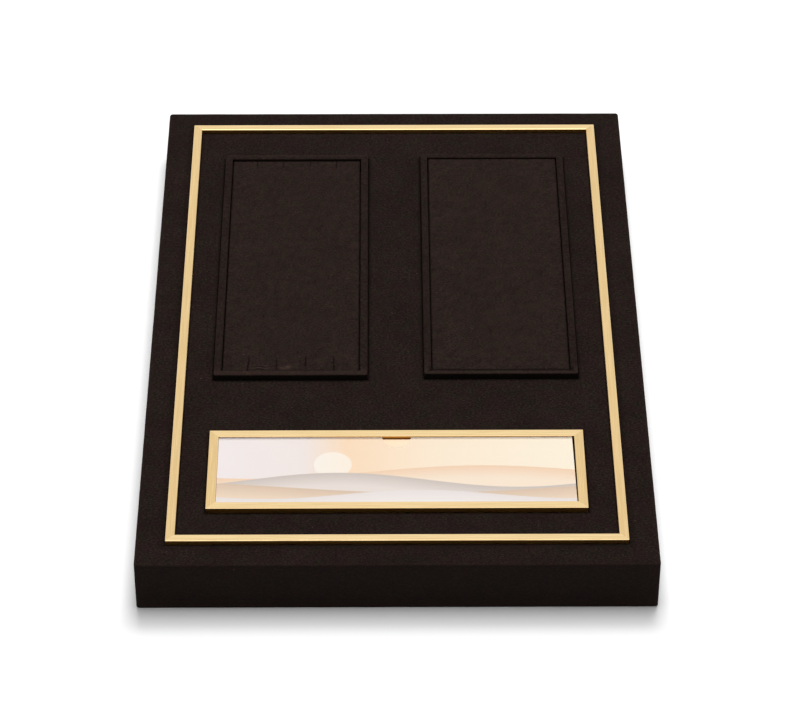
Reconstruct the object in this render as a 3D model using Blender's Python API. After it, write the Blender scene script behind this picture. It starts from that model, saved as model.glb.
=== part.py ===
"""Suede-wrapped jewellery display tray with two lift-out pads, a brass trim and a card frame.

The tray is a shallow box of fibreboard wrapped in microsuede. Its top board is dyed dark, so that
no pale board shows in a gap. A brass bar frame lies in a groove round its top. Two raised pads
stand in pockets: each is a suede-covered border with a padded insert that lifts out. In front of
them a brass frame holds a printed card under a clear cover, whose finger notch lets a fingertip
lift it off the card. Slits at both ends of the left insert hold the ends of chains.

Units are metres. +X is to the viewer's right, +Y to the back, +Z up, and the tray stands on z = 0.
"""

import math

import bpy
from mathutils import Vector

# Overall size of the wrapped tray
TRAY_WIDTH = 0.240
TRAY_DEPTH = 0.350
TOP_HEIGHT = 0.0271

# Rooms between pieces
GLUE_GAP = 0.0003
PAD_POCKET_GAP = 0.0003
INSERT_GAP = 0.0005
CARD_GAP = 0.0004
TRIM_GAP = 0.0003

# Microsuede
SUEDE = 0.0008
TOP_EASING = 0.0005
UNDER_EASING = 0.0001
CORNER_EASING = 0.0008
TRAY_RETURN = 0.014
BORDER_EASING = 0.0001
BORDER_CORNER_EASING = 0.0004

# Fibreboard box
BASE_BOARD = 0.003
TOP_BOARD = 0.009
RAIL_WIDTH = 0.015
RIB_WIDTH = 0.026
BOARD_ARRIS = 0.0004

# Felt lining of the underside, flush with the wrap's return around it
LINING = 0.0008
LINING_CORNER = 0.0010
LINING_ARRIS = 0.0002

# Brass trim frame in its groove
TRIM_MARGIN = 0.0138
TRIM_BAR = 0.0042
TRIM_PROUD = 0.0024
TRIM_SEAT = 0.0012
TRIM_CORNER_RADIUS = 0.0006

# Chamfer polished on both brass frames
BRASS_CHAMFER = 0.0006

# Field inside the trim: bare suede beside, behind, between and in front of what stands on it
FIELD_SIDE = 0.0134
FIELD_BACK = 0.0237
FIELD_FRONT = 0.0172
PAD_SPACING = 0.0266
PAD_CARD_SPACING = 0.0399
RIGHT_PAD_SHIFT = 0.0008

# Raised pads
PAD_PROUD = 0.0032
PAD_POCKET = 0.0060
PAD_BORDER = 0.0042

# Lift-out inserts
INSERT_BOARD = 0.0020
INSERT_RETURN = 0.007
INSERT_EASING = 0.0002
INSERT_CORNER_RADIUS = 0.0014
INSERT_CROWN = 0.0004
INSERT_WAIST = 0.0002
INSERT_LINER = 0.0006
SLIT_COUNT = 4
SLIT_SPACING = 0.014
SLIT_LENGTH = 0.010
SLIT_WIDTH = 0.0005
SLIT_DEPTH = 0.0022
LEFT_INSERT_DROP = 0.0008
RIGHT_INSERT_DROP = 0.0003
CROWN_RUN_SHARES = (0.03, 0.10, 0.25, 0.50)
CROWN_RISE_SHARES = (0.35, 0.65, 0.90, 1.00)

# Card frame, card and clear cover
CARD_FRAME_DEPTH = 0.0546
CARD_BAR = 0.0044
CARD_PROUD = 0.0026
CARD_POCKET = 0.0035
CARD_CORNER_RADIUS = 0.0006
CARD_FLOOR = 0.0024
CARD_SHEET = 0.0004
CARD_SHEET_CORNER = 0.0005
CLEAR_SHEET = 0.0018
CLEAR_CORNER = 0.0005
CLEAR_ARRIS = 0.0002
NOTCH_RADIUS = 0.0069

# Smoothness and overrun of cutting tools
CORNER_STEPS = 5
EDGE_STEPS = 3
NOTCH_SIDES = 64
OVERRUN = 0.002
SMOOTH_ANGLE = math.radians(35)

# Outer radii of folded suede: its thickness and the eased edge under it
TRAY_EDGE_RADIUS = SUEDE + TOP_EASING
TRAY_FOLD_RADIUS = SUEDE + UNDER_EASING
TRAY_CORNER_RADIUS = SUEDE + CORNER_EASING
BORDER_EDGE_RADIUS = SUEDE + BORDER_EASING
BORDER_CORNER_RADIUS = SUEDE + BORDER_CORNER_EASING
INSERT_ROLL = SUEDE + INSERT_EASING

# Heights that follow from the sizes above
BASE_BOTTOM = SUEDE + GLUE_GAP
BASE_TOP = BASE_BOTTOM + BASE_BOARD
BOARD_TOP = TOP_HEIGHT - SUEDE - GLUE_GAP
BOARD_BOTTOM = BOARD_TOP - TOP_BOARD
RAIL_BOTTOM = BASE_TOP + GLUE_GAP
RAIL_TOP = BOARD_BOTTOM - GLUE_GAP
BOX_WIDTH = TRAY_WIDTH - 2 * (SUEDE + GLUE_GAP)
BOX_DEPTH = TRAY_DEPTH - 2 * (SUEDE + GLUE_GAP)

# Places that follow from the sizes above
TRIM_WIDTH = TRAY_WIDTH - 2 * TRIM_MARGIN
TRIM_DEPTH = TRAY_DEPTH - 2 * TRIM_MARGIN
GROOVE_FLOOR = TOP_HEIGHT - TRIM_SEAT
FIELD_WIDTH = TRIM_WIDTH - 2 * TRIM_BAR
FIELD_DEPTH = TRIM_DEPTH - 2 * TRIM_BAR
PAD_WIDTH = (FIELD_WIDTH - PAD_SPACING) / 2 - FIELD_SIDE
PAD_DEPTH = FIELD_DEPTH - FIELD_FRONT - CARD_FRAME_DEPTH - PAD_CARD_SPACING - FIELD_BACK
PAD_X = (PAD_SPACING + PAD_WIDTH) / 2
PAD_Y = (FIELD_DEPTH - PAD_DEPTH) / 2 - FIELD_BACK
PAD_FLOOR = TOP_HEIGHT - PAD_POCKET
PAD_TOP = TOP_HEIGHT + PAD_PROUD
INSERT_WIDTH = PAD_WIDTH - 2 * (PAD_BORDER + INSERT_GAP)
INSERT_DEPTH = PAD_DEPTH - 2 * (PAD_BORDER + INSERT_GAP)
LINER_BOTTOM = PAD_FLOOR + GLUE_GAP
INSERT_BOTTOM = LINER_BOTTOM + INSERT_LINER + GLUE_GAP
CARD_FRAME_WIDTH = 2 * PAD_WIDTH + PAD_SPACING
CARD_Y = (CARD_FRAME_DEPTH - FIELD_DEPTH) / 2 + FIELD_FRONT
CARD_SEAT = TOP_HEIGHT - CARD_POCKET
CARD_TOP = TOP_HEIGHT + CARD_PROUD
WINDOW_WIDTH = CARD_FRAME_WIDTH - 2 * CARD_BAR
WINDOW_DEPTH = CARD_FRAME_DEPTH - 2 * CARD_BAR
CARD_FLOOR_BOTTOM = CARD_SEAT + GLUE_GAP
CARD_BOTTOM = CARD_FLOOR_BOTTOM + CARD_FLOOR + GLUE_GAP
CLEAR_BOTTOM = CARD_BOTTOM + CARD_SHEET + GLUE_GAP

# Each pad's place, drop of its insert below the border, and slits for chains at either end
PADS = {"left": (-PAD_X, PAD_Y, LEFT_INSERT_DROP, SLIT_COUNT),
        "right": (PAD_X, PAD_Y + RIGHT_PAD_SHIFT, RIGHT_INSERT_DROP, 0)}


def clear_scene():
    """Empty the scene of objects."""
    for item in list(bpy.data.objects):
        bpy.data.objects.remove(item, do_unlink=True)


def make_material(name, colour, roughness, metallic=0.0, alpha=1.0):
    """One Principled material."""
    material = bpy.data.materials.new(name)
    material.use_nodes = True
    shader = material.node_tree.nodes["Principled BSDF"]
    shader.inputs["Base Color"].default_value = (*colour, 1.0)
    shader.inputs["Roughness"].default_value = roughness
    shader.inputs["Metallic"].default_value = metallic
    shader.inputs["Alpha"].default_value = alpha
    return material


def suede_material(name):
    return make_material(name, (0.019, 0.012, 0.010), 0.95)


def board_material(name):
    return make_material(name, (0.42, 0.29, 0.17), 0.85)


def dark_board_material(name):
    return make_material(name, (0.05, 0.04, 0.035), 0.85)


def brass_material(name):
    return make_material(name, (0.86, 0.62, 0.30), 0.28, metallic=1.0)


def ring(half_x, half_y, radius, height):
    """Points round a rectangle with round corners, anticlockwise seen from above."""
    points = []
    for quarter in range(4):
        side_x = 1 if quarter in (0, 3) else -1
        side_y = 1 if quarter in (0, 1) else -1
        for step in range(CORNER_STEPS + 1):
            angle = (quarter + step / CORNER_STEPS) * math.pi / 2
            x = side_x * (half_x - radius) + radius * math.cos(angle)
            y = side_y * (half_y - radius) + radius * math.sin(angle)
            points.append(Vector((x, y, height)))
    return points


def inset_ring(width, depth, radius, inset, height):
    """A ring drawn in by one inset all round. Its corners keep at least a third of their radius."""
    return ring(width / 2 - inset, depth / 2 - inset, max(radius - inset, radius / 3), height)


def add_object(name, vertices, faces, location, material, parent=None):
    """Link a mesh object at a place, under an empty if one is given."""
    mesh = bpy.data.meshes.new(name)
    mesh.from_pydata(vertices, [], faces)
    mesh.materials.append(material)
    item = bpy.data.objects.new(name, mesh)
    bpy.context.scene.collection.objects.link(item)
    item.location = location
    if parent:
        item.location = Vector(location) - parent.location
        item.parent = parent
    return item


def loft(name, rings, location, material, parent=None, start=True, end=True, around=False):
    """Skin from ring to ring. The rings run up the outside, so every face looks outwards."""
    count = len(rings[0])
    vertices = [point for points in rings for point in points]
    faces = []
    pairs = len(rings) if around else len(rings) - 1
    for low in range(pairs):
        high = (low + 1) % len(rings)
        for index in range(count):
            after = (index + 1) % count
            faces.append((low * count + index, low * count + after,
                          high * count + after, high * count + index))
    if start and not around:
        faces.append(tuple(reversed(range(count))))
    if end and not around:
        faces.append(tuple(range((len(rings) - 1) * count, len(rings) * count)))
    return add_object(name, vertices, faces, location, material, parent)


def block(name, width, depth, height, location, material, radius=BOARD_ARRIS, arris=BOARD_ARRIS,
          parent=None):
    """A board with round corners and a small arris along its top and bottom edges."""
    levels = [(arris, 0), (0, arris), (0, height - arris), (arris, height)]
    rings = [inset_ring(width, depth, radius, inset, level) for inset, level in levels]
    return loft(name, rings, location, material, parent)


def hidden_side(outline, thickness):
    """The other face of a sheet whose showing face follows (inset, level) steps up the outside."""
    facings = []
    for (inset, level), (next_inset, next_level) in zip(outline, outline[1:]):
        run = Vector((next_inset - inset, next_level - level)).normalized()
        facings.append(Vector((run.y, -run.x)))
    moved = []
    for index, (inset, level) in enumerate(outline):
        before = facings[max(index - 1, 0)]
        after = facings[min(index, len(facings) - 1)]
        both = before + after
        shift = both * (2 * thickness / both.length_squared)
        moved.append((inset + shift.x, level + shift.y))
    return moved


def sheet(name, width, depth, corner, outline, thickness, location, material, parent=None):
    """A sheet folded over a rectangular shape and open underneath, from its showing outline."""
    section = list(reversed(hidden_side(outline, thickness))) + outline
    rings = [inset_ring(width, depth, corner, inset, level) for inset, level in section]
    item = loft(name, rings, location, material, parent)
    smooth(item)
    return item


def bar_frame(name, width, depth, bar, height, chamfer, radius, location, material):
    """A rectangular frame of bar, chamfered along both top edges. Its corners are welded."""
    section = [(0, 0), (0, height - chamfer), (chamfer, height), (bar - chamfer, height),
               (bar, height - chamfer), (bar, 0)]
    rings = [inset_ring(width, depth, radius, inset, level) for inset, level in section]
    return loft(name, rings, location, material, around=True)


def cut(item, cutter):
    """Take the cutter's shape out of a piece."""
    cutter.hide_render = True
    cutter.display_type = "WIRE"
    boolean = item.modifiers.new(cutter.name, "BOOLEAN")
    boolean.operation = "DIFFERENCE"
    boolean.solver = "EXACT"
    boolean.object = cutter


def pocket_cutter(name, width, depth, radius, place_x, place_y, floor):
    """A cutter from a pocket's floor up past the tray's top."""
    rings = [ring(width / 2, depth / 2, radius, level) for level in (0, TOP_HEIGHT + OVERRUN - floor)]
    material = make_material(name, (0.5, 0.5, 0.5), 0.5)
    return loft(name, rings, (place_x, place_y, floor), material)


def smooth(item):
    """Shade a piece smooth and keep its real edges sharp."""
    item.data.shade_smooth()
    item.data.set_sharp_from_angle(angle=SMOOTH_ANGLE)


def add_empty(name, location):
    """The moving frame of a piece that lifts straight up."""
    empty = bpy.data.objects.new(name, None)
    bpy.context.scene.collection.objects.link(empty)
    empty.location = location
    return empty


def lower_edge(radius):
    """Steps (inset, level) round a bottom edge, from the underside out to the side."""
    turns = [step / EDGE_STEPS * math.pi / 2 for step in range(EDGE_STEPS + 1)]
    return [(radius * (1 - math.sin(turn)), radius * (1 - math.cos(turn))) for turn in turns]


def upper_edge(radius, height):
    """Steps (inset, level) round a top edge, from the side in to the top at that height."""
    turns = [step / EDGE_STEPS * math.pi / 2 for step in range(EDGE_STEPS + 1)]
    return [(radius * (1 - math.cos(turn)), height - radius * (1 - math.sin(turn))) for turn in turns]


def pad_pocket(name):
    """Width, depth, corner and place of the pocket that a pad stands in."""
    place_x, place_y, _, _ = PADS[name]
    return (PAD_WIDTH + 2 * PAD_POCKET_GAP, PAD_DEPTH + 2 * PAD_POCKET_GAP,
            BORDER_CORNER_RADIUS + PAD_POCKET_GAP, place_x, place_y)


def card_pocket():
    """Width, depth, corner and place of the pocket that the card frame stands in."""
    return (CARD_FRAME_WIDTH + 2 * TRIM_GAP, CARD_FRAME_DEPTH + 2 * TRIM_GAP,
            CARD_CORNER_RADIUS + TRIM_GAP, 0, CARD_Y)


def build_box():
    """Base board, four rails, a rib and the top board with its groove and three pockets."""
    block("base_board", BOX_WIDTH, BOX_DEPTH, BASE_BOARD, (0, 0, BASE_BOTTOM),
          board_material("base_board"))
    rail_height = RAIL_TOP - RAIL_BOTTOM
    side_length = BOX_DEPTH - 2 * (RAIL_WIDTH + GLUE_GAP)
    across = BOX_DEPTH / 2 - RAIL_WIDTH / 2
    beside = BOX_WIDTH / 2 - RAIL_WIDTH / 2
    for name, place in (("front_rail", -across), ("rear_rail", across)):
        block(name, BOX_WIDTH, RAIL_WIDTH, rail_height, (0, place, RAIL_BOTTOM), board_material(name))
    for name, place in (("left_rail", -beside), ("right_rail", beside)):
        block(name, RAIL_WIDTH, side_length, rail_height, (place, 0, RAIL_BOTTOM), board_material(name))
    block("centre_rib", RIB_WIDTH, side_length, rail_height, (0, 0, RAIL_BOTTOM),
          board_material("centre_rib"))

    top_board = block("top_board", BOX_WIDTH, BOX_DEPTH, TOP_BOARD, (0, 0, BOARD_BOTTOM),
                      dark_board_material("top_board"))
    margin = TRIM_GAP + SUEDE + GLUE_GAP
    floor = GROOVE_FLOOR - SUEDE - GLUE_GAP
    height = TOP_HEIGHT - floor
    across = TRIM_BAR + 2 * margin
    section = [(0, 0), (0, height), (across, height), (across, 0)]
    rings = [inset_ring(TRIM_WIDTH + 2 * margin, TRIM_DEPTH + 2 * margin, TRIM_CORNER_RADIUS,
                        inset, level) for inset, level in section]
    cut(top_board, loft("groove_cutter", rings, (0, 0, floor), board_material("groove_cutter"),
                        around=True))
    for name in PADS:
        cut(top_board, pocket_cutter(name + "_pocket_cutter", *pad_pocket(name), PAD_FLOOR))
    cut(top_board, pocket_cutter("card_pocket_cutter", *card_pocket(), CARD_SEAT))


def build_tray_cover():
    """The microsuede wrap: top sheet pressed into the groove, sides, and a return underneath."""
    outline = [(TRAY_RETURN, 0)]
    outline += lower_edge(TRAY_FOLD_RADIUS)
    outline += upper_edge(TRAY_EDGE_RADIUS, TOP_HEIGHT)
    groove = TRIM_MARGIN - TRIM_GAP
    across = TRIM_BAR + 2 * TRIM_GAP
    outline += [(groove, TOP_HEIGHT), (groove, GROOVE_FLOOR),
                (groove + across, GROOVE_FLOOR), (groove + across, TOP_HEIGHT),
                (groove + 2 * across, TOP_HEIGHT)]
    cover = sheet("tray_cover", TRAY_WIDTH, TRAY_DEPTH, TRAY_CORNER_RADIUS, outline, SUEDE,
                  (0, 0, 0), suede_material("tray_cover"))
    floor = GROOVE_FLOOR - SUEDE - OVERRUN
    for name in PADS:
        cut(cover, pocket_cutter(name + "_window_cutter", *pad_pocket(name), floor))
    cut(cover, pocket_cutter("card_window_cutter", *card_pocket(), floor))


def build_underside():
    """The felt lining inside the wrap's return."""
    inset = TRAY_RETURN + GLUE_GAP
    felt = make_material("underside_lining", (0.012, 0.010, 0.009), 1.0)
    block("underside_lining", TRAY_WIDTH - 2 * inset, TRAY_DEPTH - 2 * inset, LINING, (0, 0, 0), felt,
          radius=LINING_CORNER, arris=LINING_ARRIS)


def build_brass():
    """The trim frame in its groove, and the taller frame that holds the card."""
    trim_bottom = GROOVE_FLOOR + GLUE_GAP
    bar_frame("trim_frame", TRIM_WIDTH, TRIM_DEPTH, TRIM_BAR, TOP_HEIGHT + TRIM_PROUD - trim_bottom,
              BRASS_CHAMFER, TRIM_CORNER_RADIUS, (0, 0, trim_bottom), brass_material("trim_frame"))
    frame_bottom = CARD_SEAT + GLUE_GAP
    bar_frame("card_frame", CARD_FRAME_WIDTH, CARD_FRAME_DEPTH, CARD_BAR, CARD_TOP - frame_bottom,
              BRASS_CHAMFER, CARD_CORNER_RADIUS, (0, CARD_Y, frame_bottom),
              brass_material("card_frame"))


def build_card_holder():
    """Floor of the card frame, the printed card and the notched clear cover over it."""
    width = WINDOW_WIDTH - 2 * CARD_GAP
    depth = WINDOW_DEPTH - 2 * CARD_GAP
    block("card_floor", width, depth, CARD_FLOOR, (0, CARD_Y, CARD_FLOOR_BOTTOM),
          dark_board_material("card_floor"))

    card_lift = add_empty("card_lift", (0, CARD_Y, CARD_BOTTOM))
    block("printed_card", width, depth, CARD_SHEET, (0, CARD_Y, CARD_BOTTOM),
          make_material("printed_card", (0.74, 0.62, 0.55), 0.6), radius=CARD_SHEET_CORNER,
          arris=CARD_SHEET / 8, parent=card_lift)

    cover_lift = add_empty("cover_lift", (0, CARD_Y, CLEAR_BOTTOM))
    clear = make_material("clear_cover", (0.95, 0.96, 0.97), 0.05, alpha=0.25)
    cover = block("clear_cover", width, depth, CLEAR_SHEET, (0, CARD_Y, CLEAR_BOTTOM), clear,
                  radius=CLEAR_CORNER, arris=CLEAR_ARRIS, parent=cover_lift)
    turns = [step / NOTCH_SIDES * 2 * math.pi for step in range(NOTCH_SIDES)]
    rings = [[Vector((NOTCH_RADIUS * math.cos(turn), NOTCH_RADIUS * math.sin(turn), level))
              for turn in turns] for level in (-OVERRUN, CLEAR_SHEET + OVERRUN)]
    notch = loft("notch_cutter", rings, (0, CARD_Y + depth / 2, CLEAR_BOTTOM),
                 make_material("notch_cutter", (0.5, 0.5, 0.5), 0.5))
    cut(cover, notch)


def build_border(name):
    """A pad's border: a frame of thin board on edge, and the suede folded over it."""
    place_x, place_y, _, _ = PADS[name]
    board_inset = SUEDE + GLUE_GAP
    board_width = PAD_WIDTH - 2 * board_inset
    board_depth = PAD_DEPTH - 2 * board_inset
    board_bar = PAD_BORDER - 2 * board_inset
    bottom = PAD_FLOOR + GLUE_GAP
    board_height = PAD_TOP - SUEDE - GLUE_GAP - bottom
    bar_frame(name + "_pad_frame", board_width, board_depth, board_bar, board_height, BOARD_ARRIS,
              BORDER_CORNER_RADIUS, (place_x, place_y, bottom),
              dark_board_material(name + "_pad_frame"))

    height = PAD_TOP - bottom
    section = [(0, 0)]
    section += upper_edge(BORDER_EDGE_RADIUS, height)
    section += [(PAD_BORDER - inset, level) for inset, level in reversed(section)]
    section += [(PAD_BORDER - SUEDE, 0), (PAD_BORDER - SUEDE, height - SUEDE), (SUEDE, height - SUEDE),
                (SUEDE, 0)]
    rings = [inset_ring(PAD_WIDTH, PAD_DEPTH, BORDER_CORNER_RADIUS, inset, level)
             for inset, level in section]
    smooth(loft(name + "_pad_border", rings, (place_x, place_y, bottom),
                suede_material(name + "_pad_border"), around=True))


def crown(width, height):
    """Steps over a pad's gently raised top, from its rolled edge to the level middle."""
    run = width / 2 - INSERT_ROLL
    return [(INSERT_ROLL + run * across, height + INSERT_CROWN * rise)
            for across, rise in zip(CROWN_RUN_SHARES, CROWN_RISE_SHARES)]


def build_insert(name):
    """A lift-out insert: board, foam, and suede drawn over both and turned under the board."""
    place_x, place_y, drop, slits = PADS[name]
    place = Vector((place_x, place_y, INSERT_BOTTOM))
    lift = add_empty(name + "_insert_lift", place)
    layer = SUEDE + GLUE_GAP
    inner_width = INSERT_WIDTH - 2 * (layer + INSERT_WAIST)
    inner_depth = INSERT_DEPTH - 2 * (layer + INSERT_WAIST)
    block(name + "_insert_board", inner_width, inner_depth, INSERT_BOARD,
          place + Vector((0, 0, layer)), board_material(name + "_insert_board"), parent=lift)

    shoulder = PAD_TOP - drop - INSERT_CROWN - INSERT_BOTTOM
    foam_bottom = layer + INSERT_BOARD + GLUE_GAP
    foam_height = shoulder - layer - foam_bottom
    section = [(0, 0)]
    section += upper_edge(INSERT_ROLL, foam_height)
    section += crown(inner_width, foam_height)
    rings = [inset_ring(inner_width, inner_depth, INSERT_CORNER_RADIUS, inset, level)
             for inset, level in section]
    foam = make_material(name + "_insert_foam", (0.70, 0.68, 0.62), 0.95)
    smooth(loft(name + "_insert_foam", rings, place + Vector((0, 0, foam_bottom)), foam, parent=lift))

    outline = [(INSERT_RETURN, 0)]
    outline += lower_edge(INSERT_ROLL)
    outline += [(INSERT_WAIST, shoulder / 2)]
    outline += upper_edge(INSERT_ROLL, shoulder)
    outline += crown(INSERT_WIDTH, shoulder)
    cover = sheet(name + "_insert_cover", INSERT_WIDTH, INSERT_DEPTH, INSERT_CORNER_RADIUS, outline,
                  SUEDE, place, suede_material(name + "_insert_cover"), parent=lift)
    for end in (-1, 1):
        for index in range(slits):
            along = (INSERT_DEPTH - SLIT_LENGTH + OVERRUN) / 2
            across = (index - (slits - 1) / 2) * SLIT_SPACING
            cutter = block(name + "_slit_cutter", SLIT_WIDTH, SLIT_LENGTH + OVERRUN,
                           SLIT_DEPTH + OVERRUN, place + Vector((across, end * along, shoulder - SLIT_DEPTH)),
                           board_material("slit_cutter"), radius=SLIT_WIDTH / 4, arris=SLIT_WIDTH / 4)
            cut(cover, cutter)

    block(name + "_well_liner", INSERT_WIDTH, INSERT_DEPTH, INSERT_LINER,
          (place_x, place_y, LINER_BOTTOM), suede_material(name + "_well_liner"),
          arris=INSERT_LINER / 4)


def main():
    clear_scene()
    build_box()
    build_tray_cover()
    build_underside()
    build_brass()
    build_card_holder()
    for name in PADS:
        build_border(name)
        build_insert(name)


main()
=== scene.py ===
"""Studio picture of a microsuede jewellery display tray with brass frames and two lift-out pads.

The sections follow the tray as it is put together: the fibreboard box, its suede wrap, what is
under it, the brass trim, the pads, the card holder, and at the end the studio.
"""

import math

import bmesh
import bpy
from mathutils import Matrix, Vector, noise


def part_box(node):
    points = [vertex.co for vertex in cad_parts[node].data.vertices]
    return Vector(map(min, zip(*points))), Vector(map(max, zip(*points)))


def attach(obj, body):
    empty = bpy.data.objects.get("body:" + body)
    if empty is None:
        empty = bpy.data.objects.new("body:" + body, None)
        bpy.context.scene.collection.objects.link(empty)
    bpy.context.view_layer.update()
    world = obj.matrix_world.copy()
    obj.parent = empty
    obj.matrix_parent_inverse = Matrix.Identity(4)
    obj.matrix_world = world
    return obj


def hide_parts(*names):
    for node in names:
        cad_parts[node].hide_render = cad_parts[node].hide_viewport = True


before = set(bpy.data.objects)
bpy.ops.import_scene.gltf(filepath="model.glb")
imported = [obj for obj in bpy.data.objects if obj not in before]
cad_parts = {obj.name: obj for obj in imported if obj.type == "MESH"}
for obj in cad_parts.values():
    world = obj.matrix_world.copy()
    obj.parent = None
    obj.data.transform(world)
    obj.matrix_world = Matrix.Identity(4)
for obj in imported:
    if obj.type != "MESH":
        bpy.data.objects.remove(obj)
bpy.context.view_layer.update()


# Fibreboard box. Medium-density fibreboard is ground wood fibre pressed with resin: a dull tan
# with darker flecks, and no grain. The boards, rails and frames are sawn square, glued and pinned.
# Those that a gap in the suede could show are made near black, as painted shade in the gaps.

def paint(code):
    """An sRGB hex colour as linear RGBA."""
    levels = [int(code[place:place + 2], 16) / 255 for place in (0, 2, 4)]
    linear = [level / 12.92 if level <= 0.04045 else ((level + 0.055) / 1.055) ** 2.4
              for level in levels]
    return (*linear, 1.0)


def feed(tree, node, inputs):
    """Set a node's own sockets to values, or link them to outputs."""
    for name, value in inputs.items():
        if isinstance(value, bpy.types.NodeSocket):
            tree.links.new(value, node.inputs[name])
        else:
            node.inputs[name].default_value = value


def add_node(tree, kind, inputs, output=0, **settings):
    """Add a node with its settings, feed its inputs, and give back an output or the node."""
    node = tree.nodes.new(kind)
    for name, value in settings.items():
        setattr(node, name, value)
    feed(tree, node, inputs)
    return node if output is None else node.outputs[output]


def new_material(name):
    """An empty Principled material: itself, its node tree, and its shader."""
    material = bpy.data.materials.new(name)
    material.use_nodes = True
    tree = material.node_tree
    return material, tree, tree.nodes["Principled BSDF"]


def colour_steps(tree, factor, steps):
    """A colour ramp through (place, hex colour) steps."""
    colour = add_node(tree, "ShaderNodeValToRGB", {"Fac": factor})
    ramp = colour.node.color_ramp
    ramp.elements.remove(ramp.elements[1])
    for index, (place, code) in enumerate(steps):
        element = ramp.elements[0] if index == 0 else ramp.elements.new(place)
        element.position = place
        element.color = paint(code)
    return colour


def dress_node(name, material):
    """Give a CAD node its finish."""
    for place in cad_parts[name].material_slots:
        place.material = material


MM = 0.001
FIBRE_FLECK = 0.6 * MM
FIBRE_MOTTLE = 7 * MM


def fibreboard(name, dark, middle, light):
    """Pressed fibre with flecks of its own size over a slow mottle."""
    material, tree, shader = new_material(name)
    place = add_node(tree, "ShaderNodeTexCoord", {}, "Object")
    fleck = add_node(tree, "ShaderNodeTexNoise", {
        "Vector": place, "Scale": 1 / FIBRE_FLECK, "Detail": 3.0, "Roughness": 0.65})
    mottle = add_node(tree, "ShaderNodeTexNoise", {
        "Vector": place, "Scale": 1 / FIBRE_MOTTLE, "Detail": 2.0})
    both = add_node(tree, "ShaderNodeMix", {"Factor": 0.35, "A": fleck, "B": mottle})
    colour = colour_steps(tree, both, [(0.34, dark), (0.5, middle), (0.66, light)])
    bump = add_node(tree, "ShaderNodeBump", {
        "Strength": 0.4, "Distance": 0.08 * MM, "Height": fleck})
    feed(tree, shader, {"Base Color": colour, "Roughness": 0.85, "Normal": bump})
    return material


raw_board = fibreboard("raw fibreboard, sawn", "8F6E4B", "B08A60", "C7A379")
shade_dark_board = fibreboard("fibreboard, near black for painted shade", "221D1A", "2E2824", "3B342F")
for board in ("base_board", "front_rail", "rear_rail", "left_rail", "right_rail", "centre_rib",
              "left_insert_board", "right_insert_board"):
    dress_node(board, raw_board)
for board in ("top_board", "left_pad_frame", "right_pad_frame", "card_floor"):
    dress_node(board, shade_dark_board)


# Suede wrap. One sheet of microsuede, a polyester knit with a brushed nap, is drawn over the box,
# pressed into the groove round the top, glued, turned under the base, and cut out for the pads and
# the card frame. It looks matt and near black. Painted highlights make it paler over its folds,
# and painted shade makes it darker at its cut edges, in the groove and in crevices.

SUEDE = 0.8 * MM
# Real nap is finer, and is drawn this coarse so that it shows
NAP_WIDE = 1.1 * MM
NAP_DEEP = 0.6 * MM
NAP_PATCH = 16 * MM
NAP_TINT = 5 * MM
LINT_SPACING = 9 * MM
CORNER_STEPS = 6
# How much painted shade darkens a cut edge, and over how many of its lips it fades
CUT_EDGE_SHADE = -0.8
SHADE_REACH = 3
# Places that agree to this many digits, or lie this close, are one
DIGITS = 7
MERGE = 1e-7
NEAR = 1e-6


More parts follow.
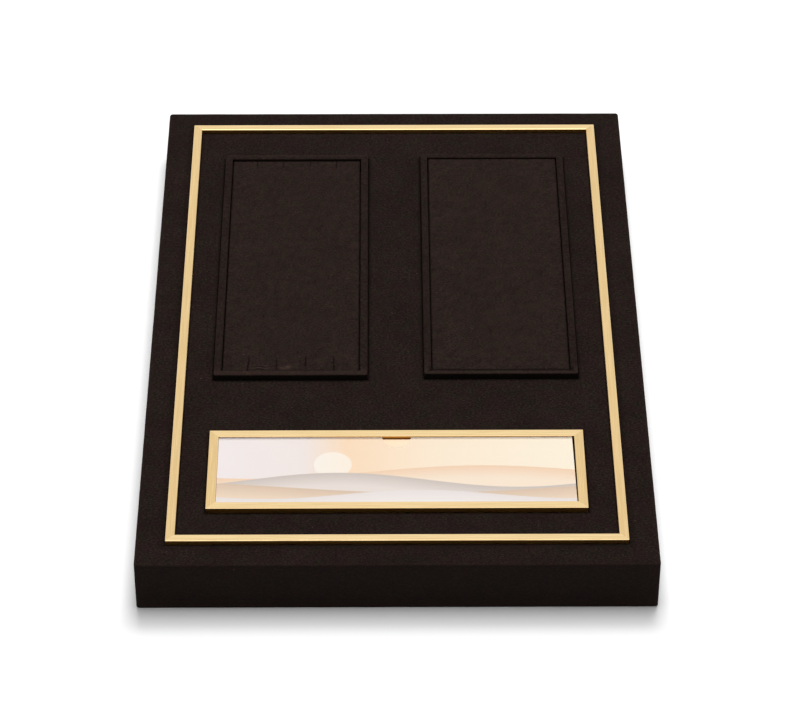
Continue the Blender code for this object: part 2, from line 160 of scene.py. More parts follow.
def microsuede():
    """Short brushed nap: fine flecks in rows, slow patches and tints, and a little lint. The
    painted light and tone attribute goes from -1, painted shade at cut edges, crevices, slits and
    the groove, to 1, a painted highlight over a fold; on the inserts it also holds their paler,
    mottled tone."""
    material, tree, shader = new_material("dark brown microsuede, brushed nap")
    place = add_node(tree, "ShaderNodeTexCoord", {}, "Object")
    drawn = add_node(tree, "ShaderNodeMapping", {
        "Vector": place, "Scale": (NAP_DEEP / NAP_WIDE, 1.0, 1.0)})
    nap = add_node(tree, "ShaderNodeTexNoise", {
        "Vector": drawn, "Scale": 1 / NAP_DEEP, "Detail": 3.0, "Roughness": 0.7})
    patch = add_node(tree, "ShaderNodeTexNoise", {
        "Vector": place, "Scale": 1 / NAP_PATCH, "Detail": 3.0})
    both = add_node(tree, "ShaderNodeMix", {"Factor": 0.12, "A": nap, "B": patch})
    # On upright faces the nap is seen end on and looks smoother
    surface = add_node(tree, "ShaderNodeNewGeometry", {}, "True Normal")
    upward = add_node(tree, "ShaderNodeSeparateXYZ", {"Vector": surface}, "Z")
    nap_seen = add_node(tree, "ShaderNodeMapRange", {
        "Value": upward, "From Min": 0.2, "From Max": 0.8, "To Min": 0.35, "To Max": 1.0})
    combed = add_node(tree, "ShaderNodeMix", {"Factor": nap_seen, "A": 0.5, "B": both})
    colour = colour_steps(tree, combed, [(0.36, "150F0D"), (0.5, "201918"), (0.64, "302623")])
    cast = add_node(tree, "ShaderNodeTexNoise", {
        "Vector": place, "Scale": 1 / NAP_TINT, "Detail": 1.0})
    tint = colour_steps(tree, cast, [(0.38, "FFF3F5"), (0.62, "F6FFEF")])
    shown = add_node(tree, "ShaderNodeMix", {"Factor": 1.0, 6: colour, 7: tint}, 2,
                     data_type="RGBA", blend_type="MULTIPLY")

    fold = add_node(tree, "ShaderNodeAttribute", {}, "Fac", attribute_name="fold")
    shade_factor = add_node(tree, "ShaderNodeMath", {0: fold, 1: -1.0}, operation="MULTIPLY")
    spot = add_node(tree, "ShaderNodeTexVoronoi", {"Vector": place, "Scale": 1 / LINT_SPACING})
    lint = add_node(tree, "ShaderNodeMapRange", {
        "Value": spot, "From Min": 0.015, "From Max": 0.035, "To Min": 0.3, "To Max": 0.0})
    # Toward a pale sheen colour for painted highlights, toward near black for painted shade, and
    # toward lint
    for factor, over in ((fold, "3F312B"), (shade_factor, "080605"), (lint, "8A7566")):
        shown = add_node(tree, "ShaderNodeMix", {"Factor": factor, 6: shown, 7: paint(over)}, 2,
                         data_type="RGBA")
    bump = add_node(tree, "ShaderNodeBump", {
        "Strength": 0.6, "Distance": 0.12 * MM, "Height": nap})
    feed(tree, shader, {
        "Base Color": shown, "Roughness": 0.95, "Specular IOR Level": 0.04, "Normal": bump,
        "Sheen Weight": 0.03, "Sheen Roughness": 0.5, "Sheen Tint": paint("8A7364")})
    return material


suede = microsuede()


def spread(marks, step):
    """Places from the first mark to the last, through every mark, no farther apart than a step."""
    marks = sorted(marks)
    places = [marks[0]]
    for mark in marks[1:]:
        start = places[-1]
        parts = max(1, math.ceil((mark - start) / step - NEAR))
        places += [start + (mark - start) * part / parts for part in range(1, parts + 1)]
    return places


def rounded_loop(half, radius, inset, across, along):
    """(x, y) round a rectangle drawn in by an inset, anticlockwise from its right side."""
    bend = max(radius - inset, 0.0)
    reach_x, reach_y = half.x - inset - bend, half.y - inset - bend
    side_xs = [min(max(x, -reach_x), reach_x) for x in across]
    side_ys = [min(max(y, -reach_y), reach_y) for y in along]
    turns = [step / CORNER_STEPS * math.pi / 2 for step in range(1, CORNER_STEPS)]
    arc = [(bend * math.cos(turn), bend * math.sin(turn)) for turn in turns]
    loop = [(half.x - inset, y) for y in side_ys]
    loop += [(reach_x + run, reach_y + rise) for run, rise in arc]
    loop += [(x, half.y - inset) for x in reversed(side_xs)]
    loop += [(-reach_x - rise, reach_y + run) for run, rise in arc]
    loop += [(-half.x + inset, y) for y in reversed(side_ys)]
    loop += [(-reach_x - run, -reach_y - rise) for run, rise in arc]
    loop += [(x, -half.y + inset) for x in side_xs]
    loop += [(reach_x + rise, -reach_y - run) for run, rise in arc]
    return loop


def turn_in(inset, level, radius, steps, upper):
    """(inset, level) steps round a fold, from the underside out, or from the side over the top."""
    turns = [step / steps * math.pi / 2 for step in range(steps + 1)]
    if upper:
        return [(inset + radius * (1 - math.cos(turn)), level - radius * (1 - math.sin(turn)))
                for turn in turns]
    return [(inset + radius * (1 - math.sin(turn)), level + radius * (1 - math.cos(turn)))
            for turn in turns]


class Skin:
    """A sheet drawn over a rectangle: showing points, their hidden partners, painted light and
    tone, and faces.
    """

    def __init__(self, low, high, radius, step, marks_x=(), marks_y=()):
        self.centre = (low + high) / 2
        self.half = (high - low) / 2
        self.radius = radius
        self.across = [x - self.centre.x for x in spread([low.x, high.x, *marks_x], step)]
        self.along = [y - self.centre.y for y in spread([low.y, high.y, *marks_y], step)]
        self.points, self.partners, self.folds, self.faces = [], [], [], []
        self.found = {}

    def point(self, x, y, level, partner, fold):
        """The index of the point at one place, made once."""
        key = (round(x, DIGITS), round(y, DIGITS), round(level, DIGITS))
        if key not in self.found:
            self.found[key] = len(self.points)
            self.points.append(Vector((self.centre.x + x, self.centre.y + y, level)))
            self.partners.append(Vector((self.centre.x + partner[0], self.centre.y + partner[1],
                                         partner[2])))
            self.folds.append(fold)
        return self.found[key]

    def patch(self, corners):
        """One face, without the corners that fell together."""
        kept = list(dict.fromkeys(corners))
        if len(kept) > 2:
            self.faces.append(kept)

    def draw_over(self, outline):
        """Sides from (inset, level, partner's inset, partner's level, painted light and tone)
        steps.
        """
        rows = []
        for inset, level, back_inset, back_level, fold in outline:
            showing = rounded_loop(self.half, self.radius, inset, self.across, self.along)
            hidden = rounded_loop(self.half, self.radius, back_inset, self.across, self.along)
            rows.append([self.point(x, y, level, (*back, back_level), fold)
                         for (x, y), back in zip(showing, hidden)])
        for below, above in zip(rows, rows[1:]):
            for index in range(len(below)):
                after = (index + 1) % len(below)
                self.patch((below[index], below[after], above[after], above[index]))

    def lay_top(self, inset, level, back_level, holes=(), lip=0.0):
        """The flat middle, with rectangular holes whose cut edges bend down by a small lip and are
        darkened by painted shade.
        """
        reach_x, reach_y = self.half.x - inset, self.half.y - inset
        xs = sorted({round(min(max(x, -reach_x), reach_x), DIGITS) for x in self.across})
        ys = sorted({round(min(max(y, -reach_y), reach_y), DIGITS) for y in self.along})

        def at(x, y):
            drop = painted_shade = 0.0
            for left, right, front, back in holes:
                away = max(left - x, x - right, front - y, y - back)
                if -lip / 10 <= away < lip:
                    drop = lip - math.sqrt(max(lip ** 2 - (lip - away) ** 2, 0.0))
                # Painted shade in the crevice round each hole, fading away from it
                if -lip / 10 <= away < SHADE_REACH * lip:
                    painted_shade = CUT_EDGE_SHADE * (1 - away / (SHADE_REACH * lip)) ** 2
            return self.point(x, y, level - drop, (x, y, back_level), painted_shade)

        for left, right in zip(xs, xs[1:]):
            for front, back in zip(ys, ys[1:]):
                middle = ((left + right) / 2, (front + back) / 2)
                if not any(hole[0] < middle[0] < hole[1] and hole[2] < middle[1] < hole[3]
                           for hole in holes):
                    self.patch((at(left, front), at(right, front), at(right, back),
                                at(left, back)))

    def unsettle(self, amount, size):
        """Make the sheet slightly uneven, as cloth glued by hand is."""
        for index, place in enumerate(self.points):
            shift = noise.noise_vector(place / size) * amount
            self.points[index] = place + shift
            self.partners[index] = self.partners[index] + shift

    def make(self, name, material):
        """The closed sheet: showing side, hidden side, and the cut edges between them."""
        count = len(self.points)
        sides = {(first, second) for face in self.faces
                 for first, second in zip(face, face[1:] + face[:1])}
        faces = list(self.faces)
        faces += [[index + count for index in reversed(face)] for face in self.faces]
        faces += [(second, first, first + count, second + count) for first, second in sorted(sides)
                  if (second, first) not in sides]
        return add_piece(name, self.points + self.partners, faces, material,
                         self.folds + [0.0] * count)


def new_object(name, data):
    """An object in the scene, at the origin."""
    made = bpy.data.objects.new(name, data)
    bpy.context.scene.collection.objects.link(made)
    return made


def add_piece(name, points, faces, material, folds=None, sharp=40):
    """A piece in place, its doubles merged, smooth but for edges sharper than so many degrees,
    with its painted light and tone if it has any."""
    mesh = bpy.data.meshes.new(name)
    mesh.from_pydata(points, [], faces)
    if folds:
        mesh.attributes.new("fold", "FLOAT", "POINT").data.foreach_set("value", folds)
    shape = bmesh.new()
    shape.from_mesh(mesh)
    bmesh.ops.remove_doubles(shape, verts=shape.verts, dist=MERGE)
    bmesh.ops.dissolve_degenerate(shape, edges=shape.edges, dist=MERGE)
    shape.to_mesh(mesh)
    shape.free()
    mesh.materials.append(material)
    mesh.shade_smooth()
    mesh.set_sharp_from_angle(angle=math.radians(sharp))
    piece = new_object(name, mesh)
    return piece


wrap_low, wrap_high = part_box("tray_cover")
TRIM_BAR = 4.2 * MM
# The cloth is cut this far from the brass and the pads, and closer at the pads' front edges
TRIM_GAP = 0.3 * MM
FRONT_GAP = 0.05 * MM
SEAT = 1.2 * MM
RETURN = 14.2 * MM
CORNER_RADIUS = 1.6 * MM
TOP_FOLD = 1.0 * MM
UNDER_FOLD = 0.5 * MM
GROOVE_LIP = 0.25 * MM
WINDOW_LIP = 0.7 * MM
WRAP_STEP = 4 * MM
# Rows of points up the side, as shares of it, and on top, in from the edge
SIDE_ROWS = (0.2, 0.4, 0.6, 0.8)
TOP_ROWS = (2 * MM, 6 * MM, 10 * MM)
UNDER_STEPS = 5
TOP_STEPS = 8
LIP_STEPS = 3
# The painted highlight over a fold, and the painted shade in the groove
FOLD_HIGHLIGHT = 0.2
GROOVE_SHADE = -0.4
# How uneven hand gluing leaves the cloth, and over what length
WRAP_SWAY = 0.05 * MM
WRAP_SWAY_LENGTH = 11 * MM
# Without a seed the cloth would be uneven in another way on each run
SWAY_SEED = 12
noise.seed_set(SWAY_SEED)

top = wrap_high.z
underside = wrap_low.z
groove_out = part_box("trim_frame")[0].x - wrap_low.x - TRIM_GAP
groove_in = groove_out + TRIM_BAR + 2 * TRIM_GAP
# How far each pad's border ends up inside its box, at the left, right, front and back
PAD_EASE = {"left": (0.17 * MM, 0.5 * MM, 0.0, 0.0), "right": (0.4 * MM, 0.3 * MM, -0.1 * MM, 0.0)}


def pad_outline(hand):
    """The low and high corners of a pad's border as it is glued up."""
    low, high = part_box(hand + "_pad_border")
    left, right, front, back = PAD_EASE[hand]
    return low + Vector((left, front, 0)), high - Vector((right, back, 0))


windows = [(low.x - TRIM_GAP, high.x + TRIM_GAP, low.y - front_gap, high.y + TRIM_GAP)
           for (low, high), front_gap in (
               (pad_outline("left"), FRONT_GAP), (pad_outline("right"), FRONT_GAP),
               (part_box("card_frame"), TRIM_GAP))]
field = groove_in + WINDOW_LIP
lines_x = [wrap_low.x + field, wrap_high.x - field]
lines_y = [wrap_low.y + field, wrap_high.y - field]
for left, right, front, back in windows:
    for away in (0, WINDOW_LIP / 3, WINDOW_LIP, 2 * WINDOW_LIP, SHADE_REACH * WINDOW_LIP):
        lines_x += [left - away, right + away]
        lines_y += [front - away, back + away]

outline = [(inset, underside, inset, underside + SUEDE, 0.0)
           for inset in (RETURN, RETURN / 2, TOP_ROWS[0])]
# Painted highlight over the fold under the base
outline += [(inset, level, SUEDE, underside + SUEDE, FOLD_HIGHLIGHT)
            for inset, level in turn_in(0, underside, UNDER_FOLD, UNDER_STEPS, False)]
outline += [(0.0, underside + share * (top - underside), SUEDE,
             underside + share * (top - underside), 0.0) for share in SIDE_ROWS]
# Painted highlight along the top fold, strongest at its middle
outline += [(inset, level, SUEDE, top - SUEDE, FOLD_HIGHLIGHT * math.sin(math.pi * index / TOP_STEPS))
            for index, (inset, level) in enumerate(turn_in(0, top, TOP_FOLD, TOP_STEPS, True))]
outline += [(inset, top, inset, top - SUEDE, 0.0) for inset in TOP_ROWS]
floor = top - SEAT
lip = turn_in(0, top, GROOVE_LIP, LIP_STEPS, True)
# Painted shade where the cloth dips into the groove
outline += [(groove_out - away, level, groove_out - SUEDE, top - SUEDE, GROOVE_SHADE)
            for away, level in reversed(lip)]
outline += [(groove_out, floor, groove_out - SUEDE, floor - SUEDE, 0.0),
            (groove_in, floor, groove_in + SUEDE, floor - SUEDE, 0.0)]
outline += [(groove_in + away, level, groove_in + SUEDE, top - SUEDE, GROOVE_SHADE)
            for away, level in lip]
outline += [(field, top, field + SUEDE, top - SUEDE, 0.0)]

wrap = Skin(wrap_low, wrap_high, CORNER_RADIUS, WRAP_STEP, lines_x, lines_y)
wrap.draw_over(outline)
wrap.lay_top(field, top, top - SUEDE, windows, WINDOW_LIP)
wrap.unsettle(WRAP_SWAY, WRAP_SWAY_LENGTH)
tray_wrap = wrap.make("tray_wrap", suede)
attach(tray_wrap, "tray")
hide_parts("tray_cover")


# Underside lining. A panel of pressed black felt is glued to the base inside the wrap's turned-in
# edge, flush with it, so that the tray stands flat and doesn't scratch the counter. It looks dull
# and a little hairy.

# Real fibres are finer, and are drawn this coarse so that they show
FELT_FIBRE = 0.5 * MM
LAID_STEP = 8 * MM
felt, tree, shader = new_material("black pressed felt, die-cut")
place = add_node(tree, "ShaderNodeTexCoord", {}, "Object")
fibre = add_node(tree, "ShaderNodeTexNoise", {
    "Vector": place, "Scale": 1 / FELT_FIBRE, "Detail": 4.0, "Roughness": 0.7,
    "Distortion": 1.5})
colour = colour_steps(tree, fibre, [(0.3, "100E0D"), (0.7, "2B2825")])
bump = add_node(tree, "ShaderNodeBump", {"Strength": 0.8, "Distance": 0.2 * MM, "Height": fibre})
feed(tree, shader, {
    "Base Color": colour, "Roughness": 1.0, "Specular IOR Level": 0.1, "Normal": bump})


def flat_sheet(name, node, material):
    """A sheet lying flat where a CAD node lies, with softly pressed edges."""
    low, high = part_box(node)
    thick = high.z - low.z
    piece = Skin(low, high, thick, LAID_STEP)
    # Painted highlight along the pressed edges
    piece.draw_over([(0, high.z - thick / 4, 0, low.z + thick / 4, FOLD_HIGHLIGHT),
                     (thick / 4, high.z, thick / 4, low.z, FOLD_HIGHLIGHT),
                     (thick, high.z, thick, low.z, 0.0)])
    piece.lay_top(thick, high.z, low.z)
    made = piece.make(name, material)
    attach(made, "tray")
    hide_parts(node)
    return made, (high.x - low.x, high.y - low.y)


lining, lining_flat = flat_sheet("felt_lining", "underside_lining", felt)


# Brass trim frame. Flat bar of brass, mitred and welded at the corners, brushed to a satin top
# with its arrises polished, then lacquered. It lies in the suede-lined groove, and looks warm and
# softly bright, with a crisp glint along both arrises.

BRUSH_LENGTH = 22 * MM
# Real brush lines are finer, and are drawn this wide so that they show
BRUSH_WIDTH = 0.5 * MM
SIDE_BAR_PAINTED_SHADE = -0.22
DRAWN_ROUGHNESS = 0.26
# Edges sharper than this many degrees are softened, and those this close to plumb are upright
CREASE = 20
PLUMB = 0.9
BAR_CORNER = 0.5 * MM
FINE_SHARE = 0.1
BRASS_CHAMFER = 0.32 * MM


def new_shape_tree(name, inputs):
    """A Geometry Nodes tree with named inputs: itself, its inputs' outputs, and their ids."""
    tree = bpy.data.node_groups.new(name, "GeometryNodeTree")
    tree.is_modifier = True
    ids = {label: tree.interface.new_socket(label, in_out="INPUT", socket_type=kind).identifier
           for label, kind in inputs.items()}
    tree.interface.new_socket("Geometry", in_out="OUTPUT", socket_type="NodeSocketGeometry")
    given = tree.nodes.new("NodeGroupInput").outputs
    return tree, given, ids


def grow(name, tree, ids, values, bevel, fine):
    """A plain mesh piece from a Geometry Nodes tree and the values of its inputs. Its upright
    corners are rounded by the whole bevel, and its other edges by a fine share of it."""
    seed = new_object(name + "_seed", bpy.data.meshes.new(name + "_seed"))
    nodes = seed.modifiers.new("shape", "NODES")
    nodes.node_group = tree
    for label, value in values.items():
        nodes[ids[label]] = value
    bpy.context.view_layer.update()
    ready = seed.evaluated_get(bpy.context.evaluated_depsgraph_get())
    mesh = bpy.data.meshes.new_from_object(ready)
    bpy.data.objects.remove(seed)
    mesh.name = name
    piece = new_object(name, mesh)
    shape = bmesh.new()
    shape.from_mesh(mesh)
    bmesh.ops.remove_doubles(shape, verts=shape.verts, dist=MERGE)
    bmesh.ops.recalc_face_normals(shape, faces=shape.faces)
    weight = shape.edges.layers.float.new("bevel_weight_edge")
    for edge in shape.edges:
        if edge.calc_face_angle(0.0) > math.radians(CREASE):
            upright = abs((edge.verts[0].co - edge.verts[1].co).normalized().z) > PLUMB
            edge[weight] = 1.0 if upright and edge.is_convex else fine
    shape.to_mesh(mesh)
    shape.free()
    mesh.shade_smooth()
    soften = piece.modifiers.new("soft edges", "BEVEL")
    soften.width = bevel
    soften.segments = 3
    soften.limit_method = "WEIGHT"
    soften.harden_normals = True
    return piece


def brushed_brass(name, low, high):
    """Brush lines along each bar of a frame, satin on top and polished on its edges, with painted
    shade on the side bars and the upright sides.
    """
    material, tree, shader = new_material(name)
    middle, half = (low + high) / 2, (high - low) / 2
    place = add_node(tree, "ShaderNodeTexCoord", {}, "Object")
    centred = add_node(tree, "ShaderNodeMapping", {"Vector": place, "Location": -middle})
    ways = add_node(tree, "ShaderNodeSeparateXYZ", {"Vector": centred}, None).outputs
    away = []
    for axis, reach in (("X", half.x), ("Y", half.y)):
        size = add_node(tree, "ShaderNodeMath", {0: ways[axis]}, operation="ABSOLUTE")
        away.append(add_node(tree, "ShaderNodeMath", {0: size, 1: reach}, operation="SUBTRACT"))
    on_side = add_node(tree, "ShaderNodeMath", {0: away[0], 1: away[1]}, operation="GREATER_THAN")
    brushes = []
    for scale in ((BRUSH_WIDTH / BRUSH_LENGTH, 1.0, 1.0), (1.0, BRUSH_WIDTH / BRUSH_LENGTH, 1.0)):
        combed = add_node(tree, "ShaderNodeMapping", {"Vector": centred, "Scale": scale})
        brushes.append(add_node(tree, "ShaderNodeTexNoise", {
            "Vector": combed, "Scale": 1 / BRUSH_WIDTH, "Detail": 3.0, "Roughness": 0.6}))
    brush = add_node(tree, "ShaderNodeMix", {"Factor": on_side, "A": brushes[0], "B": brushes[1]})
    # The two side bars are painted a shade darker, as painted shade for the light their brush
    # lines scatter away
    shaded = add_node(tree, "ShaderNodeMath", {0: on_side, 1: SIDE_BAR_PAINTED_SHADE, 2: brush},
                      operation="MULTIPLY_ADD")
    colour = colour_steps(tree, shaded, [(0.18, "E2C28A"), (0.38, "ECCC95"), (0.58, "F5D8A2")])
    surface = add_node(tree, "ShaderNodeNewGeometry", {}, "Normal")
    facing = add_node(tree, "ShaderNodeSeparateXYZ", {"Vector": surface}, "Z")
    # The sides of the bar are left as drawn and duller, and painted darker and browner as painted
    # shade
    upright = add_node(tree, "ShaderNodeMapRange", {
        "Value": facing, "From Min": 0.15, "From Max": 0.5, "To Min": 1.0, "To Max": 0.0})
    side_shaded = add_node(tree, "ShaderNodeMix", {"Factor": upright, 6: colour, 7: paint("B5853F")}, 2,
                     data_type="RGBA")
    satin = add_node(tree, "ShaderNodeMapRange", {
        "Value": facing, "From Min": 0.9, "From Max": 0.99, "To Min": 0.1, "To Max": 0.2})
    varied = add_node(tree, "ShaderNodeMapRange", {
        "Value": brush, "From Min": 0.3, "From Max": 0.7, "To Min": -0.04, "To Max": 0.04})
    drawn = add_node(tree, "ShaderNodeMath", {0: upright, 1: DRAWN_ROUGHNESS, 2: satin},
                     operation="MULTIPLY_ADD")
    rough = add_node(tree, "ShaderNodeMath", {0: drawn, 1: varied}, operation="ADD")
    bump = add_node(tree, "ShaderNodeBump", {
        "Strength": 0.15, "Distance": 0.02 * MM, "Height": brush})
    feed(tree, shader, {"Base Color": side_shaded, "Metallic": 1.0, "Roughness": rough, "Normal": bump})
    return material


bar_tree, bar_in, bar_ids = new_shape_tree("welded bar frame", {
    **dict.fromkeys(("Width", "Depth", "Bar", "Height", "Chamfer"), "NodeSocketFloat"),
    "Place": "NodeSocketVector", "Material": "NodeSocketMaterial"})
bar_path = add_node(bar_tree, "GeometryNodeCurvePrimitiveQuadrilateral", {
    "Width": add_node(bar_tree, "ShaderNodeMath", {0: bar_in["Width"], 1: bar_in["Bar"]},
                      operation="SUBTRACT"),
    "Height": add_node(bar_tree, "ShaderNodeMath", {0: bar_in["Depth"], 1: bar_in["Bar"]},
                       operation="SUBTRACT")})
bar_square = add_node(bar_tree, "GeometryNodeCurvePrimitiveQuadrilateral", {
    "Width": bar_in["Bar"], "Height": bar_in["Height"]})
bar_section = add_node(bar_tree, "GeometryNodeFilletCurve", {
    "Curve": bar_square, "Count": 1, "Radius": bar_in["Chamfer"]}, mode="POLY")
# A section stands only at the four corners, askew at 45 degrees, so it is as much wider there
bar_askew = add_node(bar_tree, "GeometryNodeTransform", {
    "Geometry": bar_section, "Scale": (math.sqrt(2), 1.0, 1.0)})
bar_swept = add_node(bar_tree, "GeometryNodeCurveToMesh", {
    "Curve": bar_path, "Profile Curve": bar_askew})
bar_placed = add_node(bar_tree, "GeometryNodeTransform", {
    "Geometry": bar_swept, "Translation": bar_in["Place"]})
bar_real = add_node(bar_tree, "GeometryNodeRealizeInstances", {"Geometry": bar_placed})
bar_done = add_node(bar_tree, "GeometryNodeSetMaterial", {
    "Geometry": bar_real, "Material": bar_in["Material"]})
add_node(bar_tree, "NodeGroupOutput", {"Geometry": bar_done}, None)


def brass_frame(name, node, bar, chamfer):
    """A brass bar frame where a CAD node is, brushed along its bars."""
    low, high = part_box(node)
    size = high - low
    piece = grow(name, bar_tree, bar_ids, {
        "Width": size.x, "Depth": size.y, "Bar": bar, "Height": size.z, "Chamfer": chamfer,
        "Place": (low + high) / 2, "Material": brushed_brass(name + ", brushed brass", low, high)},
        BAR_CORNER, FINE_SHARE)
    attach(piece, "tray")
    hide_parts(node)


brass_frame("brass_trim", "trim_frame", TRIM_BAR, BRASS_CHAMFER)


# Pad borders and wells. Each pad stands in a pocket: a frame of thin board on edge with a suede
# strip folded over it and glued, cut at its corners. A suede sheet lines the well inside it.

BORDER = {"left": 3.65 * MM, "right": 3.4 * MM}
BORDER_SUEDE = 0.5 * MM
BORDER_CORNER = 1.2 * MM
BORDER_FOLD = 0.6 * MM
BORDER_FOLD_STEPS = 6
BORDER_STEP = 3 * MM
# The painted light and tone outside, where painted shade darkens it, on top and over the folds,
# where a painted highlight lifts it, on the front and back strips, which are paler on top, and at
# the front strip's inner edge, where painted shade darkens it
OUTER_SHADE = -0.3
BORDER_HIGHLIGHT = 0.06
EDGE_HIGHLIGHT = 0.04
STRIP_TOP_PALER = 0.28
INNER_SHADE = -0.7
# How far past the front strip its top is paler
FRONT_REACH = 1 * MM
BORDER_SWAY = 0.06 * MM
PAD_SWAY_LENGTH = 9 * MM


def pad_border(hand):
    """The suede strip over a pad's border: outside, over the top, and down the inside."""
    low, high = pad_outline(hand)
    wide = BORDER[hand]
    levels = [low.z + share * (high.z - low.z) for share in (0, 0.35, 0.7)]
    over = turn_in(0, high.z, BORDER_FOLD, BORDER_FOLD_STEPS, True)
    folds = [EDGE_HIGHLIGHT + BORDER_HIGHLIGHT * math.sin(math.pi * index / BORDER_FOLD_STEPS)
             for index in range(len(over))]
    # Painted shade down the outside and a painted highlight over the folds
    outline = [(0, level, BORDER_SUEDE, level, OUTER_SHADE) for level in levels]
    outline += [(inset, level, BORDER_SUEDE, high.z - BORDER_SUEDE, fold)
                for (inset, level), fold in zip(over, folds)]
    outline += [(wide / 2, high.z, wide / 2, high.z - BORDER_SUEDE, BORDER_HIGHLIGHT)]
    outline += [(wide - inset, level, wide - BORDER_SUEDE, high.z - BORDER_SUEDE, fold)
                for (inset, level), fold in zip(reversed(over), folds)]
    outline += [(wide, level, wide - BORDER_SUEDE, level, 0.0) for level in reversed(levels)]
    strip = Skin(low, high, BORDER_CORNER, BORDER_STEP)
    strip.draw_over(outline)
    # Paler tops on the front and back strips, and painted shade along the front strip's inner edge
    for index, place in enumerate(strip.points):
        if place.z <= high.z - BORDER_FOLD / 2:
            continue
        if place.y < low.y + wide + FRONT_REACH:
            inner = min(place.x - low.x, high.x - place.x, place.y - low.y) > wide - BORDER_FOLD
            strip.folds[index] = INNER_SHADE if inner else STRIP_TOP_PALER
        elif place.y > high.y - BORDER_FOLD:
            strip.folds[index] = STRIP_TOP_PALER
    strip.unsettle(BORDER_SWAY, PAD_SWAY_LENGTH)
    made = strip.make(hand + "_border", suede)
    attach(made, "tray")
    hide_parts(hand + "_pad_border")


for hand in ("left", "right"):
    pad_border(hand)
    well, well_flat = flat_sheet(hand + "_well_lining", hand + "_well_liner", suede)


# Lift-out inserts. Suede is drawn over a slab of foam on a thin board, glued under the board, and
# swells a little over the foam. The left one has a row of knife slits at each end that hold the
# ends of chains; the suede is a little slack and puckered beside the front ones.

INSERT_GAP = 0.5 * MM
PUSHED_BACK = 0.3 * MM
INSERT_ROLL = 0.7 * MM
UNDER_ROLL_STEPS = 4
ROLL_STEPS = 6
INSERT_CORNER = 0.8 * MM
INSERT_RETURN = 7 * MM
INSERT_WAIST = 0.2 * MM
CROWN = 0.4 * MM
TOP_INSET = 1.2 * MM
CLOTH_STEP = 2.2 * MM
INSERT_SWAY = 0.05 * MM
# The tone on top, how far it wanders there, and how much painted shade darkens the roll
INSERT_NAP = 0.12
INSERT_MOTTLE = 0.16
MOTTLE_SIZE = 3.2 * MM
ROLL_SHADE = 0.5
PUCKER = 0.14 * MM
# How strongly painted light follows the pucker
PUCKER_LIGHT = 0.85
# Close-set points where the cloth puckers: first place and spacing across in mm, and how many,
# and then their spacing inward in mm, and how many
PUCKER_ACROSS = ((-19.0, 0.8, 12), (-5.6, 0.6, 11))
PUCKER_INWARD = (0.4, 10)
SLITS = (-20.63 * MM, -6.93 * MM, 7.17 * MM, 20.77 * MM)
SLIT_HALF = 0.22 * MM
SLIT_DEEP = 0.65 * MM
SLIT_EASE = 1.2 * MM
# Painted shade in the middle of a slit and beside it
SLIT_CORE_SHADE = -0.9
SLIT_SHADE = -0.3
# Each slit from the left: where it starts and ends, in from its end of the pad, its lean over
# that length, and how far it has opened
FRONT_SLITS = ((0 * MM, 10 * MM, 0.9 * MM, 0.9), (0 * MM, 8.2 * MM, 0.0, 0.45),
               (4.2 * MM, 9.8 * MM, 0.0, 0.8), (0 * MM, 10 * MM, 0.0, 0.65))
BACK_SLITS = ((0 * MM, 5 * MM, 0.0, 0.45), (0 * MM, 4 * MM, 0.0, 0.3),
              (0 * MM, 4 * MM, 0.0, 0.35), (0 * MM, 6 * MM, -0.6 * MM, 0.7))
CLOTH_FRAMES = 20
CLOTH_PRESSURE = 4


def swell(points, faces, held, cap):
    """Where cloth under light air pressure comes to rest, each move eased off towards a cap."""
    mesh = bpy.data.meshes.new("cloth")
    mesh.from_pydata(points, [], faces)
    cloth = new_object("cloth", mesh)
    cloth.vertex_groups.new(name="held").add(held, 1.0, "REPLACE")
    drawn = cloth.modifiers.new("cloth", "CLOTH")
    drawn.settings.vertex_group_mass = "held"
    drawn.settings.use_pressure = True
    drawn.settings.uniform_pressure_force = CLOTH_PRESSURE
    drawn.settings.effector_weights.gravity = 0
    drawn.point_cache.frame_start = 1
    drawn.point_cache.frame_end = CLOTH_FRAMES
    for step in range(1, CLOTH_FRAMES + 1):
        bpy.context.scene.frame_set(step)
    ready = cloth.evaluated_get(bpy.context.evaluated_depsgraph_get())
    rested = [vertex.co.copy() for vertex in ready.data.vertices]
    bpy.data.objects.remove(cloth)
    bpy.context.scene.frame_set(1)
    moved = []
    for start, end in zip(points, rested):
        move = end - start
        eased = cap * math.tanh(move.length / cap)
        moved.append(start + move.normalized() * eased)
    return moved


def pucker(across, inward):
    """How far, from -1 to 1, slack cloth stands up at a place in mm: ripples between the first two
    front slits, and a lump with a tail right of the second."""
    ripple = math.exp(-((across + 14.6) / 4.0) ** 4 - ((inward - 2.6) / 2.0) ** 4)
    ripple *= math.sin(math.tau * (inward + 0.3 * math.sin(0.9 * across)) / 1.9)
    lump = math.exp(-((across + 1.5) / 1.5) ** 2 - ((inward - 3.0) / 1.2) ** 2)
    tail = math.exp(-((across + 4.4) / 1.9) ** 2 - ((inward - 1.8) / 1.3) ** 2)
    tail *= 0.3 + 0.4 * math.sin(2.1 * inward + 0.8 * across)
    return 0.75 * ripple + lump + tail


